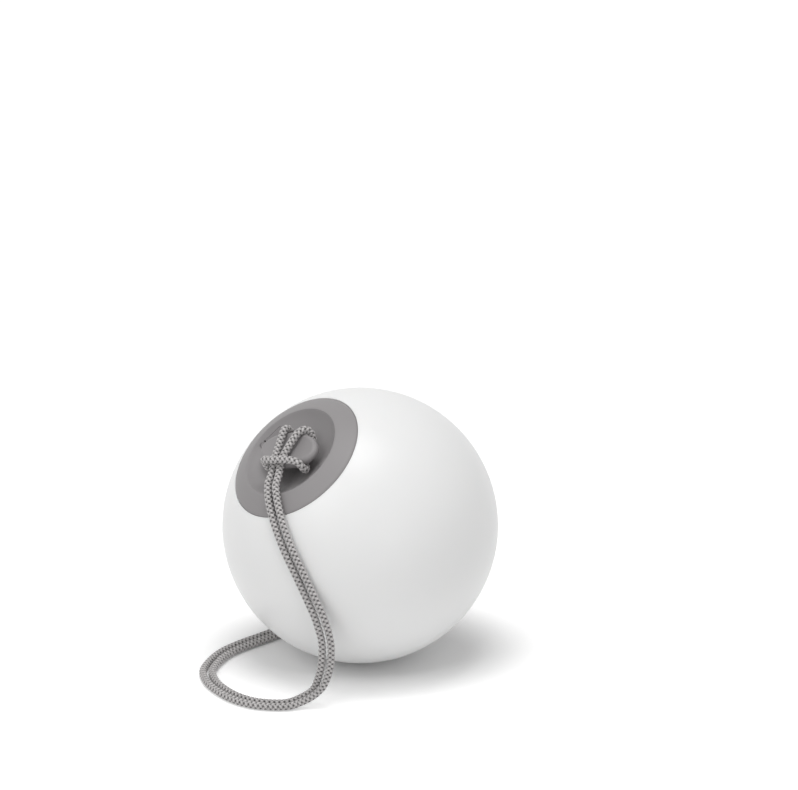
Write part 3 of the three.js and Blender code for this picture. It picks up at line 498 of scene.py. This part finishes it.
def braidedRope(material):
    path, length = smoothRoute(wholeRoute(), rope["pitch"] / rope["stepsPerPitch"])
    sides, ups = turningFrames(path)
    run = np.linspace(0, length, len(path)) / rope["pitch"] * 2 * math.pi
    lines = []
    for yarn in range(rope["yarns"]):
        hand = 1 if yarn % 2 else -1
        angle = hand * run + 2 * math.pi * (yarn // 2) / (rope["yarns"] // 2)
        circle = rope["yarnCircle"] + hand * rope["weave"] * np.cos(rope["yarns"] / 2 * run)
        lines.append(path + sides * (circle * np.cos(angle))[:, None]
                     + ups * (circle * np.sin(angle))[:, None])
    curve = yarnCurve("yarns", lines, rope["yarnRadius"], 2)
    core = yarnCurve("core", [path[::rope["coreEvery"]]], rope["core"], 1)
    bm = bmesh.new()
    for data in (curve, core):
        holder = bpy.data.objects.new("holder", data)
        bpy.context.scene.collection.objects.link(holder)
        graph = bpy.context.evaluated_depsgraph_get()
        bm.from_mesh(bpy.data.meshes.new_from_object(holder.evaluated_get(graph)))
        bpy.data.objects.remove(holder)
    bmesh.ops.recalc_face_normals(bm, faces=bm.faces[:])
    piece = makePiece("braided_rope", bm, Matrix.Identity(4), material, 80)
    markDepth(piece, path)
    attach(piece, "body")
    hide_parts("rope_hitch", "rope_loop")
    print("rope", round(length, 3), "m,", len(piece.data.polygons), "faces")


def ropeMaterial():
    material, tree, shader = newMaterial("ropeYarn", rope["color"], rope["roughness"])
    grain = addGrain(tree, shader, rope["color"], {
        "Drift": 0.3, "Drift Scale": 260, "Speckle": 0.7, "Speckle Scale": 1900,
        "Roughness": rope["roughness"], "Roughness Spread": 0.1, "Bump": 0.9,
    })
    # Painted shade: the yarn colour darkens to near black towards the braid's hollows, by weave
    # depth
    depth = tree.nodes.new("ShaderNodeAttribute")
    depth.attribute_name = "weaveDepth"
    shade = tree.nodes.new("ShaderNodeMapRange")
    shade.interpolation_type = "SMOOTHSTEP"
    tree.links.new(depth.outputs["Fac"], shade.inputs["Value"])
    mix = tree.nodes.new("ShaderNodeMix")
    mix.data_type = "RGBA"
    tree.links.new(shade.outputs["Result"], mix.inputs["Factor"])
    mix.inputs["A"].default_value = (*rope["hollowShadeColor"], 1)
    tree.links.new(grain.outputs["Color"], mix.inputs["B"])
    tree.links.new(mix.outputs["Result"], shader.inputs["Base Color"])
    shader.inputs["Sheen Weight"].default_value = 0.25
    shader.inputs["Sheen Roughness"].default_value = 0.5
    shader.inputs["Specular IOR Level"].default_value = 0.3
    return material


braidedRope(ropeMaterial())


# Globe: satin opal plastic, with a small lip round the cap
globe = {
    "radius": 100 * mm,
    "wall": 2.6 * mm,
    "seatRadius": 52.7 * mm,
    "edgeHeight": 3 * mm,
    "lip": 0.35 * mm,
    "mouth": 45 * mm,
    "collar": 3.2 * mm,
    "steps": 160,
    "outerSteps": 90,
    "innerSteps": 60,
    "color": (0.9, 0.9, 0.895),
    "roughness": 0.36,
}


def globeMaterial():
    material, tree, shader = newMaterial("opalPlastic", globe["color"], globe["roughness"])
    addGrain(tree, shader, globe["color"], {
        "Drift": 0.015, "Drift Scale": 14, "Speckle": 0.006, "Speckle Scale": 900,
        "Roughness": globe["roughness"], "Roughness Spread": 0.05, "Bump": 0.012,
    })
    shader.inputs["Subsurface Weight"].default_value = 0.25
    shader.inputs["Subsurface Radius"].default_value = (1, 0.95, 0.9)
    shader.inputs["Subsurface Scale"].default_value = 0.004
    shader.inputs["Specular IOR Level"].default_value = 0.4
    return material


def buildGlobe(material):
    radius, lip, seat = globe["radius"], globe["lip"], globe["seatRadius"]
    inner = radius - globe["wall"]
    seatHeight = math.sqrt(radius ** 2 - seat ** 2) - globe["edgeHeight"]
    collarBottom = seatHeight - globe["collar"]
    rimAngle = math.asin((seat + lip) / radius)
    outer = ballPoints(radius, math.pi, rimAngle, globe["outerSteps"])
    outer[0] = (0, -radius)
    innerStart = math.asin(math.sqrt(inner ** 2 - collarBottom ** 2) / inner)
    hollow = ballPoints(inner, innerStart, math.pi, globe["innerSteps"])
    hollow[-1] = (0, -inner)
    rimHeight = math.sqrt(radius ** 2 - (seat + lip) ** 2)
    outline = outer + [
        (seat + lip * 0.3, rimHeight - lip * 0.15), (seat, rimHeight - lip),
        (seat, seatHeight), (globe["mouth"], seatHeight), (globe["mouth"], collarBottom),
    ] + hollow
    piece = makePiece("globe", spinOutline(outline, globe["steps"]), lampFrame, material)
    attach(piece, "body")
    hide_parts("globe_shell")


buildGlobe(globeMaterial())
print("globe built")


# Cap: grey ring, dish and skirt, with a round opening for the button and a pocket for the flap
cap = {
    "radius": 52.4 * mm,
    "wall": 2.6 * mm,
    "dishRim": 38 * mm,
    "dishDepth": 12.8 * mm,
    "dishFlare": 3 * mm,
    "rimRound": 0.7 * mm,
    "edgeRound": 0.5 * mm,
    "knobSeat": 9 * mm,
    "bore": 2.3 * mm,
    "skirt": 44.6 * mm,
    "skirtWall": 2.4 * mm,
    "skirtReach": 16.5 * mm,
    "clearance": 0.3 * mm,
    "cutAbove": 4 * mm,
    "cutBelow": 6 * mm,
    "steps": 160,
    "dishSteps": 26,
    "ringSteps": 14,
    "color": (0.285, 0.273, 0.276),
    "roughness": 0.5,
}
dishReach = cap["dishRim"] + cap["dishFlare"]


def dishShare(radius):
    return math.sqrt(1 - (radius / dishReach) ** 2)


dishRise = cap["dishDepth"] / (1 - dishShare(cap["dishRim"]))
dishTop = math.sqrt(globe["radius"] ** 2 - cap["dishRim"] ** 2) - cap["dishDepth"] + dishRise


def dishHeight(radius):
    return dishTop - dishRise * dishShare(radius)


def dishPlace(place, bearing):
    # x runs outward along the slope, y along the rim and z out of the dish
    slope = dishRise * place / dishReach ** 2 / dishShare(place)
    turn = rad(bearing)
    spot = Matrix.Translation((place * math.cos(turn), place * math.sin(turn), dishHeight(place)))
    lean = Matrix.Rotation(-math.atan(slope), 4, "Y")
    return lampFrame @ spot @ Matrix.Rotation(turn, 4, "Z") @ lean


def capMaterial():
    material, tree, shader = newMaterial("capPlastic", cap["color"], cap["roughness"])
    addGrain(tree, shader, cap["color"], {
        "Drift": 0.035, "Drift Scale": 60, "Speckle": 0.05, "Speckle Scale": 2600,
        "Roughness": cap["roughness"], "Roughness Spread": 0.08, "Bump": 0.16,
    })
    shader.inputs["Specular IOR Level"].default_value = 0.4
    return material


def buildCap(material):
    ball, wall = globe["radius"], cap["wall"]
    seatHeight = math.sqrt(ball ** 2 - globe["seatRadius"] ** 2) - globe["edgeHeight"]
    edgeBottom = seatHeight + cap["clearance"]
    rimRound, edgeRound = cap["rimRound"], cap["edgeRound"]
    dishRadii = np.linspace(cap["knobSeat"], cap["dishRim"] - rimRound, cap["dishSteps"])
    dish = [(r, dishHeight(r)) for r in dishRadii]
    rimStart = math.asin((cap["dishRim"] + rimRound) / ball)
    rimEnd = math.asin((cap["radius"] - edgeRound) / ball)
    ring = ballPoints(ball, rimStart, rimEnd, cap["ringSteps"])
    turnPoint = (cap["dishRim"], math.sqrt(ball ** 2 - cap["dishRim"] ** 2) - rimRound * 0.32)
    underside = [(r, dishHeight(r) - wall) for r in dishRadii[::-3]]
    skirtBore = cap["skirt"] - cap["skirtWall"]
    inner = ball - wall
    seat = dishHeight(cap["knobSeat"])
    outerHeight = math.sqrt(ball ** 2 - cap["radius"] ** 2)
    outline = [(cap["bore"], seat)] + dish + [turnPoint] + ring + [
        (cap["radius"], outerHeight - edgeRound), (cap["radius"], edgeBottom),
        (cap["skirt"], edgeBottom), (cap["skirt"], seatHeight - cap["skirtReach"]),
        (skirtBore, seatHeight - cap["skirtReach"]),
        (skirtBore, math.sqrt(inner ** 2 - skirtBore ** 2)),
        (cap["dishRim"] + cap["clearance"], math.sqrt(inner ** 2 - cap["dishRim"] ** 2)),
    ] + underside + [(cap["bore"], seat - wall), (cap["bore"], seat)]
    piece = makePiece("cap", spinOutline(outline, cap["steps"]), lampFrame, material)
    buttonCut = bmesh.new()
    bmesh.ops.create_cone(buttonCut, cap_ends=True, segments=48, radius1=button["bore"],
                          radius2=button["bore"], depth=2 * cap["cutBelow"])
    flapCut = roundedBlock(
        flap["width"] + flap["gap"], flap["length"] + flap["anchor"] + 2 * flap["gap"],
        -flap["thickness"] - flap["gap"], cap["cutAbove"], flap["corner"], 0)
    bmesh.ops.translate(
        flapCut, vec=(0, (flap["anchor"] + flap["gap"]) / 2, 0), verts=flapCut.verts[:])
    noseCut = roundedBlock(
        flap["noseWidth"] + 2 * flap["noseRoom"], flap["noseLength"] + 2 * flap["noseRoom"],
        -cap["cutBelow"], cap["cutAbove"], flap["noseRoom"], 0)
    cutters = [
        makePiece("buttonCut", buttonCut, buttonPlace),
        makePiece("flapCut", flapCut, portPlace),
        makePiece("noseCut", noseCut, portPlace),
    ]
    cutAway(piece, cutters)
    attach(piece, "body")
    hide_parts("cap_shell")


# Power button: a low crowned disc of soft rubber in the dish
button = {
    "place": 30.2 * mm,
    "bearing": 264,
    "radius": 4.4 * mm,
    "bore": 4.7 * mm,
    "proud": 0.5 * mm,
    "crown": 0.35 * mm,
    "flange": 1.3 * mm,
    "flangeTop": 3 * mm,
    "flangeBottom": 4 * mm,
    "stem": 1.6 * mm,
    "stemLength": 0.9 * mm,
    "sideDrop": 0.25 * mm,
    "edgeDrop": 0.08 * mm,
    "edgeShare": 0.985,
    "steps": 64,
    "color": (0.27, 0.257, 0.26),
    "roughness": 0.68,
}
buttonPlace = dishPlace(button["place"], button["bearing"])

# Flap over the charging socket, and the anchor that it is moulded to
flap = {
    "place": 31.5 * mm,
    "bearing": 62,
    "length": 15.4 * mm,
    "width": 7.6 * mm,
    "thickness": 0.9 * mm,
    "corner": 1.8 * mm,
    "edge": 0.22 * mm,
    "noseLength": 7.6 * mm,
    "noseWidth": 2.2 * mm,
    "noseDepth": 2 * mm,
    "noseRoom": 0.6 * mm,
    "noseCorner": 0.5 * mm,
    "anchor": 5 * mm,
    "gap": 0.3 * mm,
    "groove": 0.22 * mm,
}
portPlace = dishPlace(flap["place"], flap["bearing"])


def rubberMaterial():
    material, tree, shader = newMaterial("softRubber", button["color"], button["roughness"])
    addGrain(tree, shader, button["color"], {
        "Drift": 0.05, "Drift Scale": 120, "Speckle": 0.08, "Speckle Scale": 2400,
        "Roughness": button["roughness"], "Roughness Spread": 0.1, "Bump": 0.2,
    })
    shader.inputs["Specular IOR Level"].default_value = 0.35
    return material


def followDish(bm, place):
    # Cuts the block fine and bends its top to the hollow of the dish around it
    for axis in (0, 1):
        reach = [v.co[axis] for v in bm.verts]
        for spot in np.linspace(min(reach), max(reach), 10)[1:-1]:
            where, square = [0, 0, 0], [0, 0, 0]
            where[axis], square[axis] = spot, 1
            bmesh.ops.bisect_plane(bm, geom=bm.verts[:] + bm.edges[:] + bm.faces[:], dist=1e-6,
                                   plane_co=where, plane_no=square)
    local = lampFrame.inverted() @ place
    for vert in bm.verts:
        if vert.co.z > -flap["thickness"] * 0.6:
            spot = local @ Vector((vert.co.x, vert.co.y, 0))
            vert.co.z += (dishHeight(math.hypot(spot.x, spot.y)) - spot.z) * local[2][2]


def openGroove(bm, end, amount):
    # Draws the top edge at one end back, so that the lid has room to swing beside its anchor
    reach = flap["edge"] * 1.2
    for vert in bm.verts:
        if vert.co.z > -reach and abs(vert.co.y - end) < reach:
            vert.co.y += amount


def buildButton(material):
    radius, low, proud = button["radius"], -button["flangeBottom"], button["proud"]
    crown = [(radius * math.sin(a), proud + button["crown"] * math.cos(a) ** 2)
             for a in np.linspace(0.05, 1.25, 10)]
    outline = [
        (0, low - button["stemLength"]), (button["stem"], low - button["stemLength"]),
        (button["stem"], low), (radius + button["flange"], low),
        (radius + button["flange"], -button["flangeTop"]), (radius, -button["flangeTop"]),
        (radius, proud - button["sideDrop"]),
        (radius * button["edgeShare"], proud - button["edgeDrop"]),
        *crown[::-1], (0, proud + button["crown"]),
    ]
    piece = makePiece("button_cap", spinOutline(outline, button["steps"]), buttonPlace, material)
    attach(piece, "button")
    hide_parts("power_button")


def buildFlap(material):
    lid = roundedBlock(flap["width"], flap["length"], -flap["thickness"], 0,
                       flap["corner"], flap["edge"], 1)
    openGroove(lid, flap["length"] / 2, -flap["groove"])
    followDish(lid, portPlace)
    nose = roundedBlock(
        flap["noseWidth"], flap["noseLength"], -flap["thickness"] - flap["noseDepth"],
        -flap["thickness"] / 2, flap["noseCorner"], 0)
    spare = bpy.data.meshes.new("nose")
    nose.to_mesh(spare)
    nose.free()
    lid.from_mesh(spare)
    piece = makePiece("flap_lid", lid, portPlace, material)
    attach(piece, "flap")
    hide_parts("port_flap")
    anchor = roundedBlock(flap["width"], flap["anchor"] - flap["gap"], -flap["thickness"], 0,
                          flap["corner"], flap["edge"], -1)
    offset = (flap["length"] + flap["anchor"]) / 2 + flap["gap"]
    bmesh.ops.translate(anchor, vec=(0, offset, 0), verts=anchor.verts[:])
    openGroove(anchor, flap["length"] / 2 + flap["gap"] * 1.5, flap["groove"])
    followDish(anchor, portPlace)
    foot = makePiece("flap_foot", anchor, portPlace, material)
    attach(foot, "body")
    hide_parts("flap_anchor")


capPlastic = capMaterial()
buildCap(capPlastic)
softRubber = rubberMaterial()
buildButton(softRubber)
buildFlap(softRubber)
print("cap, button and flap built")


# Knob: an oval head with a rounded edge and a shallow dished face, on a round neck
def buildKnob(material):
    width, length, edge = knob["halfWidth"], knob["halfLength"], knob["edge"]
    middle = knob["top"] - knob["thickness"] / 2
    faceWidth, faceLength = width - knob["dishRim"], length - knob["dishRim"]
    bulgeShare = math.sqrt(1 - ((knob["dishBulge"] - knob["dishDepth"]) / knob["dishBulge"]) ** 2)
    rings = []
    for share in np.linspace(0.03, 1, knob["faceSteps"]):
        sunk = knob["dishDepth"] - knob["dishBulge"]
        height = knob["top"] - sunk - knob["dishBulge"] * math.sqrt(1 - (share * bulgeShare) ** 2)
        rimDrop = knob["rimRound"] * share ** 12
        rings.append((faceWidth * share, faceLength * share, height - rimDrop))
    halfStraight = knob["thickness"] / 2 - edge
    for angle in np.linspace(0, 180, knob["edgeSteps"]):
        inset = edge * (1 - math.sin(rad(angle)))
        straight = halfStraight if angle < 90 else -halfStraight
        height = middle + straight + edge * math.cos(rad(angle))
        rings.append((width - inset, length - inset, height))
    under = middle - knob["thickness"] / 2
    neck, neckRound = knob["neck"], knob["neckRound"]
    seat = dishHeight(cap["knobSeat"]) + cap["clearance"]
    rings += [
        (neck + knob["rootWidth"], neck + knob["rootLength"], under),
        (neck + neckRound, neck + neckRound, under), (neck, neck, under - neckRound),
        (neck, neck, seat), (neck * 0.2, neck * 0.2, seat),
    ]
    piece = makePiece("knob", stackRings(rings, knob["steps"]), lampFrame, material)
    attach(piece, "body")
    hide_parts("hanging_knob")


buildKnob(capPlastic)
print("knob built")


# Inner pieces keep their CAD meshes and get a finish by slot
innerGrain = {"Drift Scale": 180, "Speckle Scale": 2200, "Roughness Spread": 0.15}
innerFinishes = {
    "seal_rubber": {"color": (0.022, 0.022, 0.022), "roughness": 0.6, "drift": 0.2, "bump": 0.15},
    "steel_fixings": {"color": (0.56, 0.56, 0.57), "roughness": 0.32, "metallic": 1.0,
                      "drift": 0.12, "bump": 0.05},
    "board_green": {"color": (0.02, 0.12, 0.05), "roughness": 0.42, "drift": 0.5, "bump": 0.05},
    "board_white": {"color": (0.8, 0.8, 0.78), "roughness": 0.4, "drift": 0.04, "bump": 0.04},
    "black_plastic": {"color": (0.018, 0.018, 0.019), "roughness": 0.5, "drift": 0.2, "bump": 0.2},
    "inner_plastic": {"color": (0.68, 0.68, 0.66), "roughness": 0.5, "drift": 0.04, "bump": 0.15},
    "cell_wrap": {"color": (0.04, 0.15, 0.34), "roughness": 0.35, "drift": 0.08, "bump": 0.04},
    "phosphor": {"color": (0.86, 0.7, 0.2), "roughness": 0.55, "drift": 0.15, "bump": 0.2},
    "lead_red": {"color": (0.38, 0.02, 0.015), "roughness": 0.45, "drift": 0.1, "bump": 0.06},
    "lead_black": {"color": (0.013, 0.013, 0.013), "roughness": 0.45, "drift": 0.1, "bump": 0.06},
    "opal_plastic": {"color": (0.88, 0.88, 0.87), "roughness": 0.4, "drift": 0.02, "bump": 0.03},
}


def finishInner():
    made = {}
    for row in frame["record"]["subparts"]:
        slotName = row["material_slot"]
        node = frame["nodes"][row["node"]]
        if slotName not in innerFinishes or node.hide_render:
            continue
        look = innerFinishes[slotName]
        if slotName not in made:
            material, tree, shader = newMaterial(
                slotName, look["color"], look["roughness"], look.get("metallic", 0))
            addGrain(tree, shader, look["color"], {
                **innerGrain, "Drift": look["drift"], "Speckle": look["drift"] * 0.5,
                "Roughness": look["roughness"], "Bump": look["bump"],
            })
            made[slotName] = material
        node.data.materials.clear()
        node.data.materials.append(made[slotName])
    return made


print("inner finishes", len(finishInner()))


# Floor and light
studio = {
    "floorSize": 8,
    "floorColor": (0.92, 0.92, 0.92),
    "floorRoughness": 0.9,
    # Floor glow for the camera: evenly white far out, weak round the globe's foot and stretched
    # front to back, which paints shade there and tightens the shadow
    "nearLift": 0.03,
    "farLift": 0.42,
    "liftFrom": 0.075,
    "liftTo": 0.17,
    "liftShape": (1, 1.8, 0),
    "worldStrength": 0.44,
    "lamps": {
        "key": {"power": 28, "size": 1.4, "place": (-0.1, -0.2, 2.6)},
        "left": {"power": 11, "size": 1.4, "place": (-1.4, -1.5, 1.8)},
        "low": {"power": 4, "size": 1.2, "place": (1.2, -2.2, 0.6)},
    },
}


def cameraMask(tree):
    # 1 for what the camera, a mirror or clear glass sees, 0 for light on the object
    path = tree.nodes.new("ShaderNodeLightPath")
    total = path.outputs["Is Camera Ray"]
    for name in ("Is Glossy Ray", "Is Transmission Ray"):
        add = tree.nodes.new("ShaderNodeMath")
        add.operation = "MAXIMUM"
        tree.links.new(total, add.inputs[0])
        tree.links.new(path.outputs[name], add.inputs[1])
        total = add.outputs[0]
    return total


def buildFloor():
    bm = bmesh.new()
    bmesh.ops.create_grid(bm, x_segments=1, y_segments=1, size=studio["floorSize"] / 2)
    material, tree, shader = newMaterial(
        "floorPaint", studio["floorColor"], studio["floorRoughness"])
    shader.inputs["Specular IOR Level"].default_value = 0
    # Painted shade: the floor's glow is weakest round the globe's foot and rises outward, sooner
    # front and back than to the sides, so the shadow looks darker and flatter; far out the floor
    # is evenly white
    place = tree.nodes.new("ShaderNodeTexCoord")
    shape = tree.nodes.new("ShaderNodeVectorMath")
    shape.operation = "MULTIPLY"
    shape.inputs[1].default_value = studio["liftShape"]
    tree.links.new(place.outputs["Object"], shape.inputs[0])
    away = tree.nodes.new("ShaderNodeVectorMath")
    away.operation = "LENGTH"
    tree.links.new(shape.outputs["Vector"], away.inputs[0])
    lift = tree.nodes.new("ShaderNodeMapRange")
    lift.inputs["From Min"].default_value = studio["liftFrom"]
    lift.inputs["From Max"].default_value = studio["liftTo"]
    lift.inputs["To Min"].default_value = studio["nearLift"]
    lift.inputs["To Max"].default_value = studio["farLift"]
    tree.links.new(away.outputs["Value"], lift.inputs["Value"])
    glow = tree.nodes.new("ShaderNodeMath")
    glow.operation = "MULTIPLY"
    tree.links.new(lift.outputs["Result"], glow.inputs[1])
    tree.links.new(cameraMask(tree), glow.inputs[0])
    shader.inputs["Emission Color"].default_value = (1, 1, 1, 1)
    tree.links.new(glow.outputs[0], shader.inputs["Emission Strength"])
    floor = makePiece("floor", bm, Matrix.Identity(4), material)


def buildWorld():
    world = bpy.data.worlds.new("studio")
    bpy.context.scene.world = world
    world.use_nodes = True
    tree = world.node_tree
    background = tree.nodes["Background"]
    background.inputs["Color"].default_value = (1, 1, 1, 1)
    spread = tree.nodes.new("ShaderNodeMapRange")
    spread.inputs["To Min"].default_value = studio["worldStrength"]
    spread.inputs["To Max"].default_value = 1
    tree.links.new(cameraMask(tree), spread.inputs["Value"])
    tree.links.new(spread.outputs[0], background.inputs["Strength"])


def buildLamps():
    for name, given in studio["lamps"].items():
        lamp = bpy.data.lights.new(name, "AREA")
        lamp.energy = given["power"]
        lamp.size = given["size"]
        holder = bpy.data.objects.new(name, lamp)
        holder.location = given["place"]
        aim = Vector(lampPose["centre"]) - holder.location
        holder.rotation_euler = aim.to_track_quat("-Z", "Y").to_euler()
        bpy.context.scene.collection.objects.link(holder)


buildFloor()
buildWorld()
buildLamps()
print("studio built")
